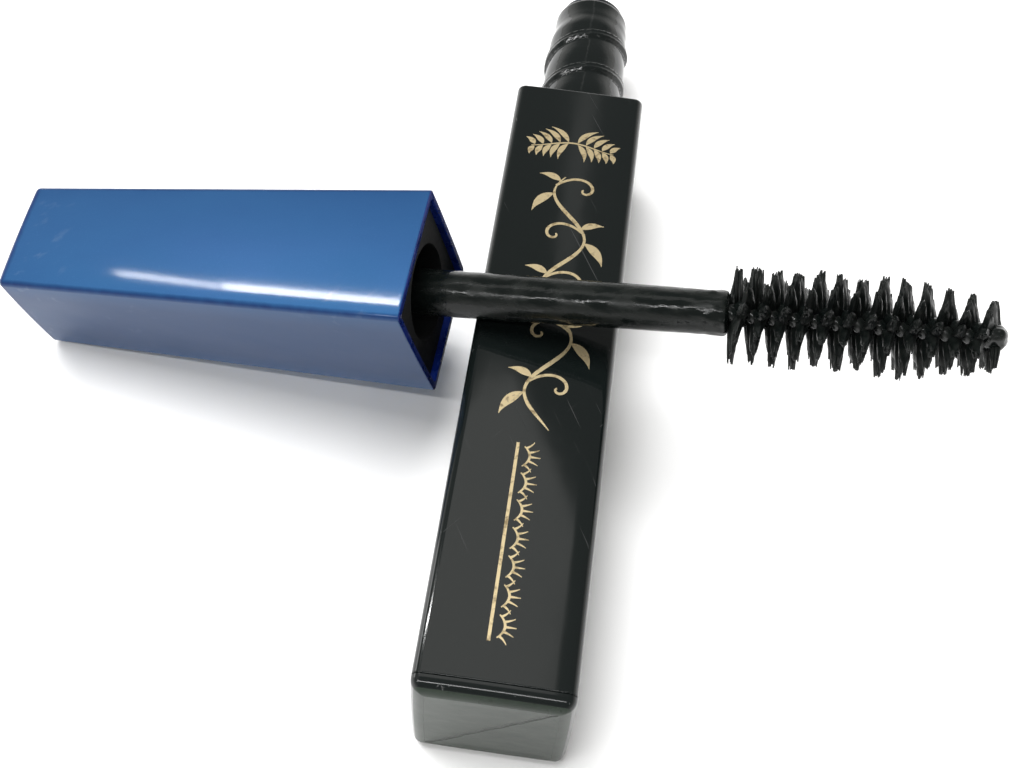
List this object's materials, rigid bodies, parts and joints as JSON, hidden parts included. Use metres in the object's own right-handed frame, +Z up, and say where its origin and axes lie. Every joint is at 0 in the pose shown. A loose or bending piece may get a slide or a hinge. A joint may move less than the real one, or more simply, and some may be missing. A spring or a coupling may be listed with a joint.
{
  "type": "mascara tube",
  "caption": "Square mascara tube with threaded round neck, laid open: tapered square cap with rod and twisted-wire brush rests across it.",
  "frame": {"origin": "centre of the tube's underside, on the surface that it lies on", "axes": "+Z up from that surface, +Y along the tube from its base to its threaded neck, +X across the tube towards the brush"},
  "size_m": [0.1018, 0.0963, 0.0315],
  "materials": {
    "tube_plastic": "glossy black injection-moulded plastic with fine scratches",
    "plug_plastic": "satin charcoal plastic that mirrors the surface it lies on",
    "film": "thin clear-grey film with a crease",
    "vial_plastic": "glossy black plastic",
    "soft_plastic": "soft black polyethylene",
    "paste": "wet black paste",
    "cap_coat": "pearly metallic blue lacquer on plastic",
    "liner_plastic": "black plastic",
    "seal_foam": "dark foamed polyethylene",
    "rod_plastic": "black plastic under a wet film of paste",
    "wire": "twisted steel wire blackened by paste",
    "bristles": "black nylon fibres, wet and clumped"
  },
  "bodies": {
    "tube": {"outer_sleeve": "tube_plastic", "base_plug": "plug_plastic", "end_label": "film", "inner_vial": "vial_plastic", "wiper": "soft_plastic", "mascara_fill": "paste"},
    "seal_carrier": {"cap_seal": "seal_foam"},
    "applicator": {"cap_shell": "cap_coat", "cap_liner": "liner_plastic", "rod": "rod_plastic", "wire_core": "wire", "bristle_turn_01": "bristles", "bristle_turn_02": "bristles", "bristle_turn_03": "bristles", "bristle_turn_04": "bristles", "bristle_turn_05": "bristles", "bristle_turn_06": "bristles", "bristle_turn_07": "bristles", "bristle_turn_08": "bristles", "bristle_turn_09": "bristles", "bristle_turn_10": "bristles", "bristle_turn_11": "bristles", "bristle_turn_12": "bristles", "bristle_turn_13": "bristles"}
  },
  "joints": [
    {"name": "lift_off", "type": "slide", "parent": "tube", "child": "seal_carrier", "axis": [0, 0, 1], "range_m": [0, 0.06]},
    {"name": "cap_turn", "type": "hinge", "parent": "seal_carrier", "child": "applicator", "pos_m": [-0.05663, 0.00776, 0.00725], "axis": [0.9758, -0.0809, 0.203], "range_deg": [0, 720]}
  ]
}
